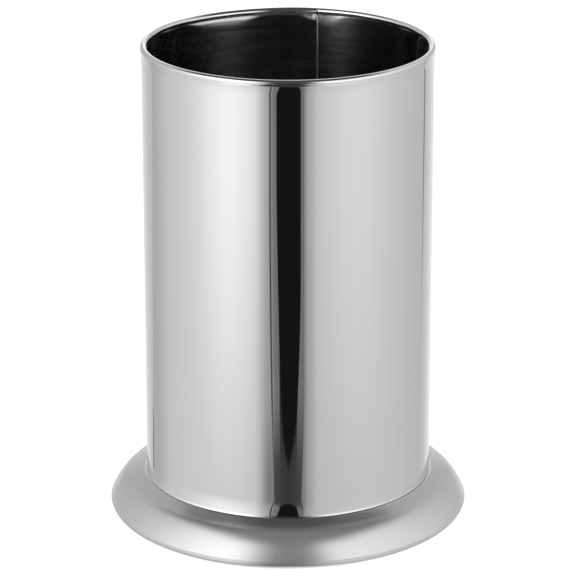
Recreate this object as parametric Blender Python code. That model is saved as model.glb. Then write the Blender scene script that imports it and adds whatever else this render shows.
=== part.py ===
"""Straw holder: a straight round sheet-steel tube, open at the top, standing in a wider bell-shaped foot.

Units are metres, +Z is up, and the origin is on the table under the middle of the holder.
Lengths below are in millimetres and are turned into metres where the meshes are made.
The user faces the holder from -Y, so the lap seam of the tube is at the back, towards +Y.
"""

import math

import bmesh
import bpy

MM = 0.001
SEGMENTS = 60  # facets around the axis

# Tube: one sheet, rolled, lapped at the back, curled at the top and flared at the bottom
TUBE_R = 44.45  # outer radius, a 3.5 inch tube
TUBE_SHEET = 0.5
TUBE_TOP = 151.1  # top of the curled rim, which is the height of the holder
TUBE_BOTTOM = 14.1  # lower edge of the flared lip
LIP_HEIGHT = 4.6  # length over which the lip flares
LIP_FLARE = 0.4
CURL_R = 1.19  # outer radius of the curled rim's round section
CURL_PROUD = 0.39  # how far the curl stands out past the wall
CURL_TURN = 255.0  # degrees that the sheet turns through in the curl
CURL_EASE = 1.9  # height over which the wall eases out into the curl
LAP_INNER_EDGE = 12.5  # degrees from the back, where the inner layer ends
LAP_OUTER_EDGE = -2.0  # degrees from the back, where the outer layer ends
LAP_JOGGLE = 4.0  # degrees over which the inner layer steps out to the wall
LAP_LOW, LAP_HIGH = 19.2, 147.0  # the doubled part of the wall
LAP_RUN = 0.4

# Foot: a spun bell with a collar inside the tube and a hem turned under
FOOT_SHEET = 0.7
COLLAR_R = 43.1  # outer radius of the collar, clear of the lap
COLLAR_TOP = 22.0
SHOULDER_Z = 13.8  # flat shoulder that carries the tube's lip
SHOULDER_R = 45.3
SHOULDER_FILLET = 0.8
FOOT_R = 55.98  # widest line of the foot
FOOT_R_Z = 4.26
BELL_POWERS = (2.01, 1.15)  # powers of the superellipse above the widest line
HEM_POWER = 2.12  # power of the superellipse below it
HEM_R = 50.4  # lowest line of the hem
HEM_Z = 0.77
LIP_RING_Z = 1.8  # underside of the flat lip that carries the ring
LIP_RING_R = 48.9  # where that lip starts
FOOT_INNER_R = 47.0  # inner edge of that lip

# Floor of the well: a drawn pan that hangs on the collar's top
GAP = 0.3  # running gap between pieces that touch
PAN_SHEET = 0.5
PAN_FLOOR = 14.5  # top of the flat bottom, where straws stand
PAN_CORNER = 1.6

# Ring under the foot, with a groove around the lip
RING_INNER_R = 46.0
RING_OUTER_R = 48.5
RING_UPPER_R = 48.2
RING_TOP = 3.6


def smoothstep(u):
    u = min(1.0, max(0.0, u))
    return u * u * (3 - 2 * u)


def arc(cx, cz, radius, start, end, steps):
    """Points on a circle in the (r, z) plane, from start to end degrees."""
    angles = [start + (end - start) * i / steps for i in range(steps + 1)]
    return [
        (
            cx + radius * math.cos(math.radians(a)),
            cz + radius * math.sin(math.radians(a)),
        )
        for a in angles
    ]


def normals(path):
    """Unit normals of an open path, on its right-hand side."""
    found = []
    for i in range(len(path)):
        (r0, z0), (r1, z1) = path[max(i - 1, 0)], path[min(i + 1, len(path) - 1)]
        length = math.hypot(r1 - r0, z1 - z0)
        found.append(((z1 - z0) / length, -(r1 - r0) / length))
    return found


def offset(path, distance):
    """The path moved to its right-hand side by distance."""
    return [
        (r + nr * distance, z + nz * distance)
        for (r, z), (nr, nz) in zip(path, normals(path))
    ]


def finish(obj, colour, metallic, roughness, sharp=32.0):
    """Gives the piece its own material and smooth shading on its round faces."""
    material = bpy.data.materials.new(obj.name + "_finish")
    material.use_nodes = True
    shader = material.node_tree.nodes["Principled BSDF"]
    shader.inputs["Base Color"].default_value = (*colour, 1.0)
    shader.inputs["Metallic"].default_value = metallic
    shader.inputs["Roughness"].default_value = roughness
    obj.data.materials.append(material)
    obj.data.shade_smooth()
    obj.data.set_sharp_from_angle(angle=math.radians(sharp))
    return obj


def add_object(name, bm):
    bmesh.ops.recalc_face_normals(bm, faces=bm.faces)
    mesh = bpy.data.meshes.new(name)
    bm.to_mesh(mesh)
    bm.free()
    obj = bpy.data.objects.new(name, mesh)
    bpy.context.scene.collection.objects.link(obj)
    return obj


def turned(name, outline):
    """A closed (r, z) outline spun once around the Z axis."""
    bm = bmesh.new()
    verts = [bm.verts.new((r * MM, 0, z * MM)) for r, z in outline]
    edges = [
        bm.edges.new((a, b))
        for a, b in zip(verts, verts[1:] + verts[:1])
        if a.co.x > 1e-9 or b.co.x > 1e-9
    ]
    bmesh.ops.spin(
        bm,
        geom=verts + edges,
        cent=(0, 0, 0),
        axis=(0, 0, 1),
        angle=math.tau,
        steps=SEGMENTS,
        use_merge=True,
    )
    bmesh.ops.remove_doubles(bm, verts=bm.verts, dist=1e-6)
    return add_object(name, bm)


def tube_outline(outer_in, inner_in):
    """The tube's section as a closed (r, z) outline. outer_in and inner_in move the wall's outer and inner faces inwards on its lapped part."""
    mid = TUBE_R - TUBE_SHEET / 2
    curl_mid_r = CURL_R - TUBE_SHEET / 2
    curl_r, curl_z = TUBE_R + CURL_PROUD - CURL_R, TUBE_TOP - CURL_R
    path = []
    for i in range(4):  # flared lip
        s = 1 - i / 4
        path.append(
            (
                mid + LIP_FLARE * s * s,
                TUBE_BOTTOM + LIP_HEIGHT * (1 - s),
            )
        )
    path += [
        (mid, LAP_LOW - LAP_RUN),
        (mid, LAP_LOW),
        (mid, LAP_HIGH),
        (mid, LAP_HIGH + LAP_RUN),
    ]
    for i in range(1, 4):  # the wall eases out to the curl
        u = i / 4
        path.append((mid + CURL_PROUD * smoothstep(u), curl_z - CURL_EASE * (1 - u)))
    path += arc(curl_r, curl_z, curl_mid_r, 0, CURL_TURN, 8)
    half = TUBE_SHEET / 2
    outer, inner = offset(path, half), offset(path, -half)
    lapped = [
        i for i, (_, z) in enumerate(path) if LAP_LOW <= z <= LAP_HIGH and i < 8
    ]
    for i in lapped:
        outer[i] = (outer[i][0] - outer_in, outer[i][1])
        inner[i] = (inner[i][0] - inner_in, inner[i][1])
    return outer + inner[::-1]


def tube_stations():
    """(degrees from the back, outer_in, inner_in) once around, starting just past the inner layer's edge."""
    edge = 0.15  # a free edge of the sheet, as a very short step
    stations = [(LAP_INNER_EDGE + edge, 0.0, 0.0)]
    step = 360 / SEGMENTS
    joggle = 360 + LAP_OUTER_EDGE - LAP_JOGGLE
    angle = math.ceil((LAP_INNER_EDGE + 1) / step) * step
    while angle < joggle - 1:
        stations.append((angle, 0.0, 0.0))
        angle += step
    for i in range(5):
        inwards = TUBE_SHEET * smoothstep(i / 4)
        stations.append((joggle + LAP_JOGGLE * i / 4, inwards, inwards))
    stations.append((360 + LAP_OUTER_EDGE + edge, 0.0, TUBE_SHEET))
    angle = 360.0
    while angle < 360 + LAP_INNER_EDGE - 1:
        stations.append((angle, 0.0, TUBE_SHEET))
        angle += step
    stations.append((360 + LAP_INNER_EDGE, 0.0, TUBE_SHEET))
    return stations


def make_tube():
    bm = bmesh.new()
    rings = []
    for degrees, outer_in, inner_in in tube_stations():
        a = math.radians(degrees)
        rings.append(
            [
                bm.verts.new((r * MM * math.sin(a), r * MM * math.cos(a), z * MM))
                for r, z in tube_outline(outer_in, inner_in)
            ]
        )
    for one, two in zip(rings, rings[1:] + rings[:1]):
        n = len(one)
        for k in range(n):
            bm.faces.new((one[k], one[(k + 1) % n], two[(k + 1) % n], two[k]))
    return finish(
        add_object("tube_wall", bm), (0.80, 0.80, 0.80), metallic=1.0, roughness=0.05
    )


def bell_path():
    """The foot's outer side, from the collar's top down to the inner edge of the lip that carries the ring."""
    path = [(COLLAR_R, COLLAR_TOP)]
    path += arc(
        COLLAR_R + SHOULDER_FILLET,
        SHOULDER_Z + SHOULDER_FILLET,
        SHOULDER_FILLET,
        180,
        270,
        3,
    )
    steps = 10
    m, n = BELL_POWERS
    for i in range(steps + 1):  # from the shoulder out to the widest line
        t = math.pi / 2 * (1 - i / steps)
        path.append(
            (
                SHOULDER_R + (FOOT_R - SHOULDER_R) * abs(math.cos(t)) ** (2 / m),
                FOOT_R_Z + (SHOULDER_Z - FOOT_R_Z) * abs(math.sin(t)) ** (2 / n),
            )
        )
    steps = 5
    for i in range(1, steps + 1):  # from the widest line in under the hem
        t = math.pi / 2 * i / steps
        path.append(
            (
                HEM_R + (FOOT_R - HEM_R) * abs(math.cos(t)) ** (2 / HEM_POWER),
                FOOT_R_Z - (FOOT_R_Z - HEM_Z) * abs(math.sin(t)) ** (2 / HEM_POWER),
            )
        )
    for i in range(1, 4):  # up again to the lip that carries the ring
        u = i / 3
        path.append(
            (
                HEM_R + (LIP_RING_R - HEM_R) * u,
                HEM_Z + (LIP_RING_Z - HEM_Z) * smoothstep(u),
            )
        )
    path.append((FOOT_INNER_R, LIP_RING_Z))
    return path


def make_foot():
    path = bell_path()
    # The path runs down the outside, so its right-hand side is the inside of the sheet.
    outline = path + offset(path, FOOT_SHEET)[::-1]
    return finish(
        turned("foot_flange", outline), (0.72, 0.72, 0.72), metallic=1.0, roughness=0.28
    )


def make_floor():
    collar_inner = COLLAR_R - FOOT_SHEET
    wall = collar_inner - GAP
    under = COLLAR_TOP + GAP
    corner_z = PAN_FLOOR - PAN_SHEET + PAN_CORNER
    bend = 0.6
    lower = [(COLLAR_R, under), (wall + bend, under)]
    lower += arc(wall + bend, under - bend, bend, 90, 180, 2)[1:]
    lower += arc(wall - PAN_CORNER, corner_z, PAN_CORNER, 0, -90, 4)
    lower += [(0.0, PAN_FLOOR - PAN_SHEET)]
    upper = [(0.0, PAN_FLOOR)]
    upper += arc(
        wall - PAN_CORNER, corner_z, PAN_CORNER - PAN_SHEET, -90, 0, 3
    )
    upper += arc(wall + bend, under - bend, bend + PAN_SHEET, 180, 90, 3)
    upper += [(COLLAR_R, under + PAN_SHEET)]
    return finish(
        turned("well_floor", lower + upper),
        (0.62, 0.62, 0.62),
        metallic=1.0,
        roughness=0.32,
    )


def make_ring():
    groove = FOOT_INNER_R - GAP
    low, high = LIP_RING_Z - GAP, LIP_RING_Z + FOOT_SHEET + GAP
    outline = [
        (RING_INNER_R, 0.0),
        (RING_OUTER_R, 0.0),
        (RING_OUTER_R, low),
        (groove, low),
        (groove, high),
        (RING_UPPER_R, high),
        (RING_UPPER_R, RING_TOP),
        (RING_INNER_R, RING_TOP),
    ]
    return finish(
        turned("nonslip_ring", outline),
        (0.03, 0.03, 0.032),
        metallic=0.0,
        roughness=0.75,
    )


for old in list(bpy.data.objects):
    bpy.data.objects.remove(old, do_unlink=True)

holder = bpy.data.objects.new("straw_holder", None)
bpy.context.scene.collection.objects.link(holder)
for piece in (make_tube(), make_foot(), make_floor(), make_ring()):
    piece.parent = holder
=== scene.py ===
"""Straw holder: the finished surfaces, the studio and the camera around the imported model."""

import math

import bpy
import numpy as np
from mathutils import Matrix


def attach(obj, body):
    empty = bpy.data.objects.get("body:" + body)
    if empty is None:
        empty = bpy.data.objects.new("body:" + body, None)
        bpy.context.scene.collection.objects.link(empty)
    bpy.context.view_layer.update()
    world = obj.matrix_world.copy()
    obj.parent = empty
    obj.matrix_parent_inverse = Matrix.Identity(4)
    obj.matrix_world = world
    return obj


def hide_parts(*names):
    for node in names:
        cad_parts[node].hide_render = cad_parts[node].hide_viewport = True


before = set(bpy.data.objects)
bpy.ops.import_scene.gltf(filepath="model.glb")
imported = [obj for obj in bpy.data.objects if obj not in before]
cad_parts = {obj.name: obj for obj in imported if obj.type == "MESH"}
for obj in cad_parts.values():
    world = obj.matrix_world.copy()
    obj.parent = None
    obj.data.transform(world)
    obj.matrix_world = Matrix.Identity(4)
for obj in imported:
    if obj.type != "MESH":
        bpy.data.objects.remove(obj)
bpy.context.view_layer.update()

MM = 0.001

# ---------------------------------------------------------------- dimensions, in millimetres
TUBE_R, SHEET = 44.45, 0.5
TOP, LIP_Z = 151.1, 13.85
LIP_H, LIP_OUT = 4.6, 0.4
CURL_R, CURL_PROUD, CURL_TURN = 1.06, 0.39, 258.0
LAP_IN, LAP_OUT, JOGGLE = 12.5, -2.0, 10.0  # degrees from the back, positive to +X
LAP_TOP, WALL_TOP = 149.85, 148.9  # where the inner layer ends under the curl; lower beside the seam

FOOT_T = 0.7
COLLAR_R, COLLAR_TOP = 43.1, 22.0
FLANK_SLOPE, UNDER_LIP_Z = 22.0, 13.76  # the flank's slope in degrees, and its height where it passes under the lip
ROLL_R, ROLL_Z, ROLL_REACH, SHOULDER_FILLET = 49.3, 12.06, (4.35, 0.19), 0.8
FOOT_R, FOOT_R_Z = 55.98, 4.26
HEM_POWER = 2.12
HEM_R, HEM_Z = 50.4, 0.77
RING_LIP_Z, RING_LIP_R, FOOT_INNER_R = 1.8, 48.9, 47.0
GAP = 0.3
PAN_T, PAN_FLOOR, PAN_CORNER = 0.5, 14.5, 1.6
RING_IN, RING_OUT, RING_UP, RING_TOP = 46.0, 48.5, 48.2, 3.6


# ---------------------------------------------------------------- mesh helpers
def smoothstep(u):
    u = np.clip(u, 0.0, 1.0)
    return u * u * (3 - 2 * u)


def arc(cr, cz, radius, start, end, steps):
    a = np.radians(np.linspace(start, end, steps + 1))
    return np.column_stack([cr + radius * np.cos(a), cz + radius * np.sin(a)])


def right_normals(path):
    d = np.gradient(path, axis=0)
    d /= np.linalg.norm(d, axis=1)[:, None]
    return np.column_stack([d[:, 1], -d[:, 0]])


def add_mesh(name, verts, faces, materials, face_slots=None, sharp=None):
    mesh = bpy.data.meshes.new(name)
    mesh.from_pydata([tuple(v) for v in verts], [], [tuple(f) for f in faces])
    for m in materials:
        mesh.materials.append(m)
    if face_slots is not None:
        mesh.polygons.foreach_set("material_index", np.asarray(face_slots, np.int32))
    mesh.update()
    mesh.validate()
    mesh.shade_smooth()
    if sharp:
        mesh.set_sharp_from_angle(angle=math.radians(sharp))
    obj = bpy.data.objects.new(name, mesh)
    bpy.context.scene.collection.objects.link(obj)
    return obj


def sweep(sections, angles):
    """Vertices and quads of closed (r, z) sections, one at each angle in degrees from the back, clockwise seen from above."""
    count, n = len(angles), len(sections[0])
    a = np.radians(np.asarray(angles))
    s = np.asarray(sections)
    x = s[:, :, 0] * np.sin(a)[:, None]
    y = s[:, :, 0] * np.cos(a)[:, None]
    verts = np.stack([x, y, s[:, :, 1]], axis=-1).reshape(-1, 3) * MM
    i = np.arange(count)[:, None]
    k = np.arange(n)[None, :]
    j, m = (i + 1) % count, (k + 1) % n
    faces = np.stack([i * n + k, i * n + m, j * n + m, j * n + k], axis=-1)
    return verts, faces.reshape(-1, 4)


def outward(verts, faces):
    """The same faces, turned over if the closed mesh they make is inside out."""
    p = verts[faces]
    volume = np.einsum(
        "ij,ij->i", p[:, 0], np.cross(p[:, 1], p[:, 2]) + np.cross(p[:, 2], p[:, 3])
    ).sum()
    return faces if volume > 0 else faces[:, ::-1]


def lathe(name, outline, materials, steps=340, slots=None, sharp=40):
    angles = np.linspace(0, 360, steps, endpoint=False)
    verts, faces = sweep([outline] * steps, angles)
    face_slots = None if slots is None else np.tile(slots, steps)
    return add_mesh(name, verts, outward(verts, faces), materials, face_slots, sharp)


# ---------------------------------------------------------------- shader helpers
class Num:
    """A number in a node tree, so that arithmetic on it adds Math nodes."""

    def __init__(self, tree, socket):
        self.tree, self.socket = tree, socket

    def op(self, name, *others):
        node = self.tree.nodes.new("ShaderNodeMath")
        node.operation = name
        for slot, value in zip(node.inputs, (self, *others)):
            if isinstance(value, Num):
                self.tree.links.new(value.socket, slot)
            else:
                slot.default_value = value
        return Num(self.tree, node.outputs[0])

    def __add__(self, o):
        return self.op("ADD", o)

    def __sub__(self, o):
        return self.op("SUBTRACT", o)

    def __mul__(self, o):
        return self.op("MULTIPLY", o)

    def __truediv__(self, o):
        return self.op("DIVIDE", o)

    def __pow__(self, o):
        return self.op("POWER", o)

    __radd__, __rmul__ = __add__, __mul__

    def __rsub__(self, o):
        return self.op("MULTIPLY", -1.0) + o

    def __neg__(self):
        return self.op("MULTIPLY", -1.0)

    def abs(self):
        return self.op("ABSOLUTE")

    def max(self, o):
        return self.op("MAXIMUM", o)

    def min(self, o):
        return self.op("MINIMUM", o)

    def step(self, low, high):
        """0 below low, 1 above high and smooth between, or the other way round if high is the lower."""
        node = self.tree.nodes.new("ShaderNodeMapRange")
        node.interpolation_type = "SMOOTHSTEP"
        self.tree.links.new(self.socket, node.inputs["Value"])
        node.inputs["From Min"].default_value = min(low, high)
        node.inputs["From Max"].default_value = max(low, high)
        node.inputs["To Min"].default_value = 0.0 if low < high else 1.0
        node.inputs["To Max"].default_value = 1.0 if low < high else 0.0
        return Num(self.tree, node.outputs["Result"])

    def bump(self, centre, half, power=2.0):
        """exp(-(|x - centre| / half) ** power)."""
        far = ((self - centre) / half).abs() ** power
        return (-far).op("EXPONENT")


def mix(a, b, share):
    """a where share is 0, b where it is 1."""
    return share * (b - a) + a


# ---------------------------------------------------------------- materials
def new_material(name):
    material = bpy.data.materials.new(name)
    material.use_nodes = True
    tree = material.node_tree
    return material, tree, tree.nodes["Principled BSDF"]


def cylinder_coordinates(tree):
    """(angle around Z in radians, radius in mm, height in mm) of the object's own coordinates."""
    coords = tree.nodes.new("ShaderNodeTexCoord")
    split = tree.nodes.new("ShaderNodeSeparateXYZ")
    tree.links.new(coords.outputs["Object"], split.inputs[0])
    x, y, z = (Num(tree, split.outputs[i]) for i in range(3))
    return x.op("ARCTAN2", y), (x * x + y * y).op("SQRT") * 1000.0, z * 1000.0


def noise(tree, vector, scale, detail=3.0, roughness=0.5):
    node = tree.nodes.new("ShaderNodeTexNoise")
    node.inputs["Scale"].default_value = scale
    node.inputs["Detail"].default_value = detail
    node.inputs["Roughness"].default_value = roughness
    tree.links.new(vector, node.inputs["Vector"])
    return Num(tree, node.outputs["Fac"])


def vector_of(tree, x, y, z):
    node = tree.nodes.new("ShaderNodeCombineXYZ")
    for slot, value in zip(node.inputs, (x, y, z)):
        if isinstance(value, Num):
            tree.links.new(value.socket, slot)
        else:
            slot.default_value = value
    return node.outputs[0]


def grey(tree, value):
    node = tree.nodes.new("ShaderNodeCombineColor")
    for slot in node.inputs:
        tree.links.new(value.socket, slot)
    return node.outputs[0]


def bump_on(tree, shader, height, strength, distance):
    node = tree.nodes.new("ShaderNodeBump")
    node.inputs["Strength"].default_value = strength
    node.inputs["Distance"].default_value = distance
    tree.links.new(height.socket, node.inputs["Height"])
    tree.links.new(node.outputs[0], shader.inputs["Normal"])


def mirror_steel():
    material, tree, shader = new_material("mirror_steel")
    shader.inputs["Metallic"].default_value = 1.0
    angle, radius, height = cylinder_coordinates(tree)
    cloud = noise(tree, vector_of(tree, angle * 40.0, radius, height * 0.25), 0.12, 3.0)
    tree.links.new(grey(tree, cloud * 0.012 + 0.934), shader.inputs["Base Color"])
    tree.links.new((cloud * 0.02 + 0.012).socket, shader.inputs["Roughness"])
    return material


def satin_steel():
    material, tree, shader = new_material("satin_steel")
    shader.inputs["Metallic"].default_value = 0.76
    angle, radius, height = cylinder_coordinates(tree)
    spun = noise(tree, vector_of(tree, angle * 3.0, radius * 3.0, height * 3.0), 1.6, 4.0)
    cloud = noise(tree, vector_of(tree, angle * 30.0, radius, height), 0.10, 4.0)
    # painted shade: the base colour is darkened beside the tube, most of all in front, standing in for the shade and
    # dark reflection under the lip
    painted_shade = radius.step(51.1, 47.1) * (angle.abs().step(2.33, 2.66) * 0.56 + 0.06)
    tree.links.new(
        grey(tree, (cloud * 0.02 + spun * 0.01 + 0.83) * (1.0 - painted_shade)), shader.inputs["Base Color"]
    )
    tree.links.new((cloud * 0.03 + spun * 0.01 + 0.23).socket, shader.inputs["Roughness"])
    bump_on(tree, shader, spun, 0.004, 0.00003)
    return material


def mill_steel():
    material, tree, shader = new_material("mill_steel")
    shader.inputs["Metallic"].default_value = 1.0
    angle, radius, height = cylinder_coordinates(tree)
    streak = noise(tree, vector_of(tree, angle * 5.0, radius, height * 1.8), 0.9, 4.0)
    # painted highlight: left and right mark two patches of the inner wall, where the base colour is brightened to stand
    # in for highlights; they also make those patches rougher
    left, right = angle.bump(-0.46, 0.2), angle.bump(0.38, 0.15)
    painted_highlight = left * 0.16 + right * 0.2
    tree.links.new(grey(tree, streak * 0.16 + painted_highlight + 0.52), shader.inputs["Base Color"])
    tree.links.new((streak * 0.12 + left * 0.085 + right * (height.step(130.0, 149.0) * 0.045 + 0.06) + 0.06).socket, shader.inputs["Roughness"])
    shader.inputs["Anisotropic"].default_value = 0.6
    shader.inputs["Anisotropic Rotation"].default_value = 0.25
    tangent = tree.nodes.new("ShaderNodeTangent")
    tangent.direction_type = "RADIAL"
    tangent.axis = "Z"
    tree.links.new(tangent.outputs[0], shader.inputs["Tangent"])
    bump_on(tree, shader, streak, 0.1, 0.0001)
    return material


def cut_edge_steel():
    material, tree, shader = new_material("cut_edge_steel")
    shader.inputs["Metallic"].default_value = 1.0
    angle, radius, height = cylinder_coordinates(tree)
    grain = noise(tree, vector_of(tree, angle * 60.0, radius * 4.0, height), 0.8, 3.0)
    # painted light: the base colour brightens towards the top of the tube, standing in for light falling in through the
    # mouth; the grain is the edge's own
    tree.links.new(grey(tree, grain * 0.1 + height.step(130.0, 149.0) ** 2.0 * 0.5 + 0.42), shader.inputs["Base Color"])
    tree.links.new((grain * 0.15 + 0.45).socket, shader.inputs["Roughness"])
    return material


def painted_seam_shade():
    material, tree, shader = new_material("seam_painted_shade")
    angle, radius, height = cylinder_coordinates(tree)
    grain = noise(tree, vector_of(tree, angle * 60.0, radius, height), 2.0, 2.0)
    # painted shade: a near-black base colour standing in for the shade in the crevice where the curl's two ends meet
    tree.links.new(grey(tree, grain * 0.01 + 0.01), shader.inputs["Base Color"])
    tree.links.new((grain * 0.2 + 0.6).socket, shader.inputs["Roughness"])
    return material


def elastomer():
    material, tree, shader = new_material("elastomer")
    angle, radius, height = cylinder_coordinates(tree)
    grain = noise(tree, vector_of(tree, angle * 50.0, radius, height), 3.0, 4.0)
    tree.links.new(grey(tree, grain * 0.012 + 0.02), shader.inputs["Base Color"])
    tree.links.new((grain * 0.2 + 0.6).socket, shader.inputs["Roughness"])
    bump_on(tree, shader, grain, 0.2, 0.00005)
    return material


MIRROR, SATIN, MILL, CUT, PAINTED_SEAM_SHADE, RUBBER = (
    mirror_steel(),
    satin_steel(),
    mill_steel(),
    cut_edge_steel(),
    painted_seam_shade(),
    elastomer(),
)


# ---------------------------------------------------------------- tube
def bell(x, centre, half, power=2.0):
    return float(np.exp(-((abs(x - centre) / half) ** power)))


def turn(a):
    """The same angle between -180 and 180 degrees."""
    return (a + 180) % 360 - 180


def ramp(x, low, high):
    return float(smoothstep((x - low) / (high - low)))


LIP_RISE = 5.6
LIP_Z_AT = LIP_Z + 0.03 + (LIP_RISE - 0.03) * np.linspace(0, 1, 24)[:-1] ** 1.15
WALL_Z = np.concatenate(
    [
        np.linspace(LIP_Z + LIP_RISE, TOP - 14, 12),
        np.linspace(TOP - 13, 145.7, 15),
        np.linspace(145.85, WALL_TOP, 22),
    ]
)
CURL_C = np.array([TUBE_R + CURL_PROUD - CURL_R, TOP - CURL_R])
EASE_Z = np.linspace(WALL_TOP + 0.1, CURL_C[1] - 0.05, 10)
WALL_FROM, WALL_TO = len(LIP_Z_AT), len(LIP_Z_AT) + len(WALL_Z)
CURL_FROM = WALL_TO + len(EASE_Z)
LEVELS = np.concatenate([LIP_Z_AT, WALL_Z, EASE_Z])
CURL_STEPS = 60


def tube_path(at):
    """Middle of the sheet, from the lip up to the end of the curl, at an angle from the back."""
    at = turn(at)
    front = turn(at + 180) * -1  # the same place as an angle from the front, positive to +X
    mid = TUBE_R - SHEET / 2
    z = np.concatenate([LIP_Z_AT, WALL_Z, EASE_Z])
    # the lip: flared by hand, softly on the left of the front and sharply on its right
    h = np.clip(z - LIP_Z, 0, None)
    soft = 0.03 + 0.1 * (1 - ramp(front, -4, 14)) + 0.3 * bell(front, -52, 26)
    r = mid + soft * np.clip(1 - h / LIP_RISE, 0, 1) ** 2 + 0.15 * np.clip(1 - h / 0.8, 0, 1) ** 2
    # the wall's easing into the curl, longer where the sheet was rolled over less tightly
    near = bell(at, -28, 13.5, 4), bell(at, 16.0, 5.2, 2.4)
    reach = 1.3 + 3.1 * near[0] + 4.5 * near[1] + 0.8 * bell(at, 8, 3)
    left, right = bell(at, -96, 38, 4), bell(at, 96, 38, 4)
    reach += 2.0 * left + 2.2 * right - 0.6 * bell(front, -2, 17, 4)
    proud = CURL_PROUD - 0.14 * right
    tail = 0.13
    d = np.clip(CURL_C[1] - z, 0, None)
    r += (proud - tail) * (1 - smoothstep(d / reach))
    r += tail * np.exp(-((d / (2.2 + 4.0 * left)) ** 1.3))
    waist = smoothstep((d - 1.2) / 1.1) * np.exp(-((np.clip(d - 2.8, 0, None) / 12.0) ** 2))
    r -= (0.085 * near[0] + 0.01 * near[1]) * waist
    # the curl: a little uneven below, and squeezed flat where it is two sheets thick
    a = np.linspace(0, CURL_TURN, CURL_STEPS + 1)
    radius = CURL_R - SHEET / 2
    t = math.radians(at)
    wave = 0.030 * math.sin(9 * t + 0.6) + 0.022 * math.sin(23 * t) + 0.014 * math.sin(41 * t + 2)
    dip = 0.26 * bell(at, -28, 24, 4)  # the rim isn't perfectly level, and is a little fuller there
    size = radius * (1 + wave * smoothstep((a - 150) / 60) + 0.35 * dip)
    n = np.column_stack([np.cos(np.radians(a)), np.sin(np.radians(a))])
    curl = CURL_C + [proud - CURL_PROUD, 0.0] + size[:, None] * n
    for lean, depth in ((57, 0.055), (125, 0.03)):  # flattened by the rolling tool
        rolled = np.array([math.cos(math.radians(lean)), math.sin(math.radians(lean))])
        over = (curl - CURL_C) @ rolled - (radius - depth)
        curl -= np.clip(over, 0, None)[:, None] * rolled
    flat = ramp(at, -2.6, -0.4) * (1 - ramp(at, 12.1, 12.7))
    if flat > 0:
        side = np.array([math.cos(math.radians(140)), math.sin(math.radians(140))])
        over = (curl - CURL_C) @ side - (radius - 0.14 * flat)
        curl -= np.clip(over, 0, None)[:, None] * side
    dent = bell(at, 12.35, 0.28, 4)
    curl -= 0.12 * dent * n * (smoothstep((a - 40) / 30) * (1 - smoothstep((a - 190) / 40)))[:, None]
    z = z - dip * smoothstep((z - 140.0) / 8.0)
    curl -= [0.0, dip]
    return np.vstack([np.column_stack([r, z]), curl])


def lap_top(at):
    """Height where the inner layer ends, and how far down its end is eased; it is cut at a slant beside the seam."""
    at = turn(at)
    top = LAP_TOP - 2.15 * ramp(at, 2.0, 10.8) + 2.0 * ramp(at, 11.2, 11.9)
    return top, 0.6 - 0.25 * ramp(at, 2, 8)


def tube_section(at, outer_in, inner_in):
    path = tube_path(at)
    normal = right_normals(path)
    half = SHEET / 2
    outer, inner = path + normal * half, path - normal * half
    on_wall = np.zeros(len(path))
    top, bevel = lap_top(at)
    on_wall[:CURL_FROM] = 1 - smoothstep((path[:CURL_FROM, 1] - (top - bevel)) / bevel)
    outer[:, 0] -= outer_in * on_wall
    inner[:, 0] -= inner_in * on_wall
    a = np.radians(np.linspace(90, -90, 7)[1:-1])
    along = np.array([-normal[-1][1], normal[-1][0]])  # rounded end of the curl
    end = path[-1] + half * (np.outer(np.sin(a), normal[-1]) + np.outer(np.cos(a), along))
    mid, r = (outer[0] + inner[0]) / 2, (outer[0] - inner[0]) / 2
    low = mid + np.outer(np.sin(a), r) + np.outer(np.cos(a), [0.0, -0.15])  # of the lip
    return np.vstack([outer, end, inner[::-1], low[::-1]])


SEAM_FROM, SEAM_TO = 12.1, 12.55  # the inner layer's bevelled edge, in degrees from the back


def tube_stations():
    """(degrees from the back, outer_in, inner_in) once around, from just past the inner layer's edge."""
    rows = [(a, 0.0, i) for a, i in ((12.65, -0.02), (12.85, -0.07), (13.05, -0.04), (13.3, 0.0))]
    rows += [(a, 0.0, 0.0) for a in np.arange(13.8, 347.6, 1.25)]
    start = 360 + LAP_OUT - JOGGLE
    for u in np.linspace(0, 1, 17):
        d = SHEET * float(smoothstep(u))
        rows.append((start + JOGGLE * u, d, d))
    edge = 360 + LAP_OUT
    for q in np.linspace(0, 90, 6)[1:]:  # outer layer's rounded edge
        c = math.radians(q)
        rows.append(
            (edge + 0.02 + 0.2 * (1 - math.cos(c)), SHEET * 0.4 * (1 - math.sin(c)), SHEET)
        )
    rows += [(a, 0.0, SHEET) for a in np.arange(edge + 0.8, 360 + SEAM_FROM - 0.6, 0.8)]
    for a, i in ((-0.55, 0.0), (-0.35, 0.05), (-0.15, 0.05), (0.0, 0.0), (0.1, -0.02)):
        rows.append((360 + SEAM_FROM + a, 0.0, SHEET - i))
    for u in np.linspace(0.25, 1, 5):
        rows.append((360 + SEAM_FROM + (SEAM_TO - SEAM_FROM) * u, 0.0, SHEET - 0.16 * u * u))
    rows.append((360 + SEAM_TO + 0.03, 0.0, 0.1))
    return rows


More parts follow.
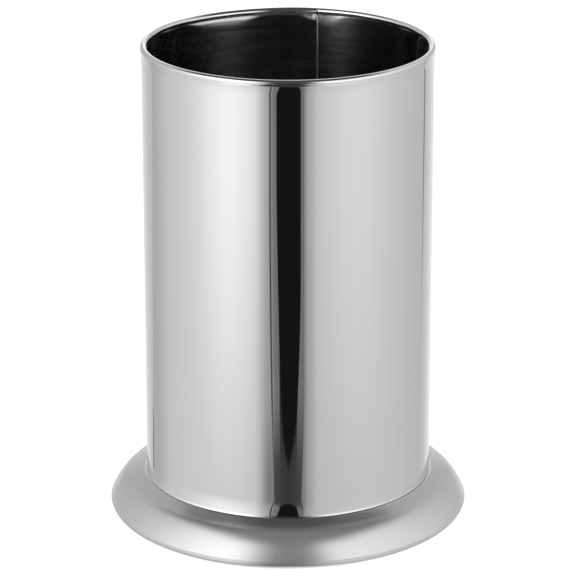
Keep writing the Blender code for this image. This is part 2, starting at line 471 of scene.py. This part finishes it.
def make_tube():
    stations = tube_stations()
    angles = [s[0] for s in stations]
    sections = np.array([tube_section(*s) for s in stations])
    verts, faces = sweep(sections, angles)
    n, count, path_n = len(sections[0]), len(stations), WALL_TO + len(EASE_Z) + CURL_STEPS + 1
    k = np.arange(n)
    inner_k = path_n + 5  # where the inner side starts, at the curl's end
    on_curl = path_n - CURL_FROM
    inner = (k >= inner_k + on_curl - 14) & (k < inner_k + path_n)
    slots = np.zeros((count, n), int)
    slots[:, inner] = 1
    a = np.array([turn(v) for v in angles])
    seam = (a > SEAM_FROM - 0.02) & (a < SEAM_TO + 0.02)
    slots[np.ix_(seam, inner)] = 2
    for i in np.nonzero((a > 2.5) & (a < SEAM_FROM))[0]:  # the inner layer's upper end
        top, bevel = lap_top(a[i])
        rows = np.nonzero((LEVELS > top - bevel - 0.02) & (LEVELS < top + 0.02))[0]
        slots[i, inner_k + path_n - 2 - rows] = 2
    curl_rows = (k >= CURL_FROM + 10) & (k < CURL_FROM + 44)
    slots[np.ix_((a > 12.15) & (a < 12.6), curl_rows)] = 3  # painted shade: near-black faces in the crevice where the two ends of the curl meet
    slots[:, inner_k + path_n - 1 :] = 2  # the sheet's raw edge under the lip
    return add_mesh(
        "tube_wall_surface", verts, outward(verts, faces), [MIRROR, MILL, CUT, PAINTED_SEAM_SHADE], slots.ravel(), 50
    )


# ---------------------------------------------------------------- foot, floor and ring
def bell_path():
    """The foot's outer side, from the collar's top down to the inner edge of the ring's lip."""
    slope = math.radians(FLANK_SLOPE)
    fillet_z = UNDER_LIP_Z + SHOULDER_FILLET
    bend_r = ROLL_R - (UNDER_LIP_Z - ROLL_Z) / math.tan(slope)  # where the flat under the lip meets the flank
    parts = [np.array([[COLLAR_R, COLLAR_TOP]])]
    parts.append(
        np.column_stack([np.full(5, COLLAR_R), np.linspace(COLLAR_TOP - 1, fillet_z + 0.3, 5)])
    )
    parts.append(arc(COLLAR_R + SHOULDER_FILLET, fillet_z, SHOULDER_FILLET, 180, 270, 8))
    u = np.linspace(0, 1, 9)[:, None]
    flat, bend = np.array([bend_r - 0.3, UNDER_LIP_Z]), np.array([bend_r, UNDER_LIP_Z])
    on_flank = bend + 0.3 * np.array([math.cos(slope), -math.sin(slope)])
    parts.append((1 - u) ** 2 * flat + 2 * (1 - u) * u * bend + u * u * on_flank)
    r = np.linspace(on_flank[0], ROLL_R, 14)[1:-1]
    parts.append(np.column_stack([r, ROLL_Z + (ROLL_R - r) * math.tan(slope)]))
    start = np.array([ROLL_R, ROLL_Z])
    end = np.array([FOOT_R, FOOT_R_Z])
    one = start + ROLL_REACH[0] * np.array([math.cos(slope), -math.sin(slope)])
    two = end + [0.0, ROLL_REACH[1]]
    u = np.linspace(0, 1, 61)[:, None]
    parts.append(
        (1 - u) ** 3 * start + 3 * (1 - u) ** 2 * u * one + 3 * (1 - u) * u * u * two + u**3 * end
    )
    t = np.pi / 2 * np.linspace(0, 1, 29)[1:]
    parts.append(
        np.column_stack(
            [
                HEM_R + (FOOT_R - HEM_R) * np.abs(np.cos(t)) ** (2 / HEM_POWER),
                FOOT_R_Z - (FOOT_R_Z - HEM_Z) * np.abs(np.sin(t)) ** (2 / HEM_POWER),
            ]
        )
    )
    u = np.linspace(0, 1, 13)[1:]
    parts.append(
        np.column_stack(
            [HEM_R + (RING_LIP_R - HEM_R) * u, HEM_Z + (RING_LIP_Z - HEM_Z) * smoothstep(u)]
        )
    )
    parts.append(np.column_stack([np.linspace(RING_LIP_R, FOOT_INNER_R, 5)[1:], np.full(4, RING_LIP_Z)]))
    return np.vstack(parts)


def make_foot():
    path = bell_path()
    under = path + right_normals(path) * FOOT_T
    return lathe("foot_flange_surface", np.vstack([path, under[::-1]]), [SATIN])


def make_floor():
    wall, under = COLLAR_R - FOOT_T - GAP, COLLAR_TOP + GAP
    corner_z, bend = PAN_FLOOR - PAN_T + PAN_CORNER, 0.6
    lower = np.vstack(
        [
            [[COLLAR_R, under]],
            arc(wall + bend, under - bend, bend, 90, 180, 8),
            arc(wall - PAN_CORNER, corner_z, PAN_CORNER, 0, -90, 12),
            [[r, PAN_FLOOR - PAN_T] for r in (36, 28, 20, 12, 5, 0.02)],
        ]
    )
    upper = np.vstack(
        [
            [[r, PAN_FLOOR] for r in (0.02, 5, 12, 20, 28, 36)],
            arc(wall - PAN_CORNER, corner_z, PAN_CORNER - PAN_T, -90, 0, 12),
            arc(wall + bend, under - bend, bend + PAN_T, 180, 90, 8),
            [[COLLAR_R, under + PAN_T]],
        ]
    )
    return lathe("well_floor_surface", np.vstack([lower, upper]), [MILL])


def make_ring():
    groove = FOOT_INNER_R - GAP
    low, high = RING_LIP_Z - GAP, RING_LIP_Z + FOOT_T + GAP
    corners = [
        (RING_IN, 0.0),
        (RING_OUT, 0.0),
        (RING_OUT, low),
        (groove, low),
        (groove, high),
        (RING_UP, high),
        (RING_UP, RING_TOP),
        (RING_IN, RING_TOP),
    ]
    outline, n = [], len(corners)
    for i, c in enumerate(corners):  # each corner rounded by a short curve
        c, before, after = (np.array(corners[j % n], float) for j in (i, i - 1, i + 1))
        r = 0.15
        p = c + (before - c) / np.linalg.norm(before - c) * r
        q = c + (after - c) / np.linalg.norm(after - c) * r
        for t in np.linspace(0, 1, 5):
            outline.append((1 - t) ** 2 * p + 2 * t * (1 - t) * c + t * t * q)
    return lathe("nonslip_ring_surface", np.array(outline), [RUBBER])


for piece, node, slot in (
    (make_tube(), "tube_wall", "polished_steel"),
    (make_foot(), "foot_flange", "satin_steel"),
    (make_floor(), "well_floor", "mill_steel"),
    (make_ring(), "nonslip_ring", "elastomer"),
):
    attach(piece, "root")
    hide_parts(node)


# ---------------------------------------------------------------- studio
def gap_shift(azimuth, rise):
    """How far to the right of the left panel's leaning edge a direction is, in degrees."""
    return azimuth + 133.0 - (rise + 15.57) * 1.5


def make_world():
    """A light tent around the holder: two bright panels, a dark slit on the camera's side and a dark opening above it."""
    world = bpy.data.worlds.new("light_tent")
    bpy.context.scene.world = world
    world.use_nodes = True
    tree = world.node_tree
    tree.nodes.clear()
    coords = tree.nodes.new("ShaderNodeTexCoord")
    split = tree.nodes.new("ShaderNodeSeparateXYZ")
    tree.links.new(coords.outputs["Generated"], split.inputs[0])
    x, y, z = (Num(tree, split.outputs[i]) for i in range(3))
    deg = 180 / math.pi
    azimuth = x.op("ARCTAN2", -y) * deg  # 0 towards the camera, positive to the right
    rise = z.op("ARCSINE") * deg
    across = x.op("ARCSINE") * deg  # angle off the slit's plane
    front = y.step(0.02, -0.02)

    # below the horizon: two panels that fade towards the table, and the back wall
    low = (rise.step(-26.7, -15.7) + rise.step(-23.3, -24.4)).min(1.0)
    left = azimuth.bump(-46.0, 30.0) * low * 0.456 + azimuth.bump(-95.0, 34.0) * 0.106
    right = azimuth.bump(52.0, 34.0) * low * 0.212 + azimuth.bump(90.0, 34.0) * 0.053
    wall = azimuth.step(-132.0, -184.0) * 0.40 + azimuth.step(130.0, 178.0) * 0.44
    glow = left + right + wall + 0.482
    # the gaps between the panels and the back wall
    gap_left = gap_shift(azimuth, rise).abs()
    glow = glow * (1.0 - azimuth.step(-106.0, -131.0) * gap_shift(azimuth, rise).step(-2.0, 0.5) * 0.16)
    seam = rise.step(-20.6, -21.7) * rise.step(-22.85, -22.7)
    glow = glow - (-((gap_left / 1.2) ** 2.0)).op("EXPONENT") * (seam * 0.34 + 0.035)
    gap_right = (azimuth - 135.7).abs()
    glow = glow - (-((gap_right / 0.9) ** 2.0)).op("EXPONENT") * rise.step(-20.6, -15.8) * 0.44
    # the panels' edges beside the slit
    deep = rise.step(-20.7, -22.4)  # where the slit's floor shows
    shade_left = across.step(-26.0, -13.8) * 0.42
    shade_right = across.step(24.0, 12.4) * 0.36 + across.step(14.6, 11.4) * 0.22
    side_left = (1.0 - shade_left) * (1.0 - across.step(-21.0, -13.0) * deep * 0.33)
    side = mix(side_left, 1.0 - shade_right, across.step(-0.5, 0.5))
    glow = glow * mix(side * 0.0 + 1.0, side, front)

    # the slit, narrowing downwards and closing to a point on the table
    over = (rise + 15.6).max(0.0).min(16.0) * 0.002
    under_left = (-17.1 - rise).max(0.0) / 4.65
    under_right = (-20.9 - rise).max(0.0) / 1.75
    lip = (-23.4 - rise).max(0.0).min(6.0)
    spread = mix(
        over + lip * 0.07 + 1.0 - under_left.min(1.3) ** 2.0 * 0.17,
        over + lip * 0.03 + 1.0 - under_right.min(1.3) ** 1.3 * 0.17,
        across.step(-0.5, 0.5),
    )
    s = across / (spread * (1.0 - rise.step(-29.0, -42.0) * 0.12))
    band = s.abs().step(6.4, 7.6) * 0.140 + 0.02 + s.bump(-12.2, 0.8) * 0.085 + s.step(-8.0, -10.5) * 0.02
    line = s.bump(-13.4, 0.6) * 0.9
    flank_left = s.step(-13.6, -13.2)
    flank_right = s.step(12.3, 11.8)
    floor_of = (across / 7.3) ** 2.0 * 0.014 + across.step(-10.2, -17.0) * 0.17 + 0.040
    slit = mix(mix(band, floor_of, deep), rise.bump(-28.0, 3.0) * 0.09 + 0.035, rise.step(-23.4, -24.6))
    centre = (rise + 22.17).max(0.0).min(1.1) * 0.8 + 0.25
    reach = (across - centre).abs()
    tip = reach * 0.10 + (reach**4.0) * 0.00045 - 22.2
    core = (rise - tip).step(-0.1, 0.16)
    core = core * (s + 8.6).step(-0.35, 0.35) * (s - 9.5).step(0.35, -0.35)
    slit = mix(slit, slit * 0.0 + 0.0072, core)
    glow = mix(glow, slit, flank_left * flank_right * front)
    glow = glow * (1.0 - line * front * rise.step(-22.3, -20.8))

    # above the horizon: the same panels, brighter, with a dark ceiling over everything
    tent = azimuth.bump(-41.0, 51.0) * 0.88 + azimuth.bump(44.0, 68.0) * 0.56 + 0.43
    tent = tent + azimuth.abs().step(156.0, 180.0) * 0.5
    open_side = mix(azimuth.step(-9.0, -37.0), azimuth.step(13.5, 33.5), azimuth.step(-0.5, 0.5))
    tent = mix(rise.bump(35.0, 14.0) * 0.06 + 0.03, tent, open_side)
    edge = azimuth.bump(-80.0, 42.0) * 11.0 + azimuth.bump(75.0, 45.0) * 6.8 + 50.0
    edge = edge - azimuth.bump(-131.0, 13.0) * 8.0 + azimuth.abs().step(142.0, 154.0) * 2.0
    tent = mix(tent, tent * 0.0 + 0.06, (rise - edge).step(-10.0, 10.0))
    glow = mix(glow, tent, rise.step(-14.0, 3.0))

    light = tree.nodes.new("ShaderNodeBackground")
    tree.links.new(grey(tree, glow), light.inputs["Color"])
    seen = tree.nodes.new("ShaderNodeBackground")
    seen.inputs["Color"].default_value = (1, 1, 1, 1)
    path = tree.nodes.new("ShaderNodeLightPath")
    both = tree.nodes.new("ShaderNodeMixShader")
    out = tree.nodes.new("ShaderNodeOutputWorld")
    tree.links.new(path.outputs["Is Camera Ray"], both.inputs[0])
    tree.links.new(light.outputs[0], both.inputs[1])
    tree.links.new(seen.outputs[0], both.inputs[2])
    tree.links.new(both.outputs[0], out.inputs[0])


def make_floor_plane():
    size = 6.0
    verts = [(-size, -size, 0), (size, -size, 0), (size, size, 0), (-size, size, 0)]
    material, tree, shader = new_material("pale_floor")
    shader.inputs["Base Color"].default_value = (0.9, 0.9, 0.9, 1)
    shader.inputs["Roughness"].default_value = 1.0
    shader.inputs["Specular IOR Level"].default_value = 0.0
    shader.inputs["Emission Color"].default_value = (1, 1, 1, 1)
    shader.inputs["Emission Strength"].default_value = 0.72
    floor = add_mesh("studio_floor", verts, [(0, 1, 2, 3)], [material])
    floor.visible_glossy = False
    floor.visible_diffuse = False
    floor.visible_shadow = False


def make_camera():
    camera = bpy.data.cameras.new("photo_camera")
    camera.sensor_width = 36.0
    camera.lens = 3199.3 / 576 * 36
    camera.clip_start, camera.clip_end = 0.01, 50.0
    obj = bpy.data.objects.new("photo_camera", camera)
    obj.location = (0.0, -0.9394, 0.3948)
    obj.rotation_euler = (math.radians(90 - 18.939), 0, 0)
    bpy.context.scene.collection.objects.link(obj)
    bpy.context.scene.camera = obj


make_world()
make_floor_plane()
make_camera()
bpy.context.scene.view_settings.view_transform = "Standard"
bpy.context.scene.cycles.max_bounces = 24
bpy.context.scene.cycles.glossy_bounces = 24
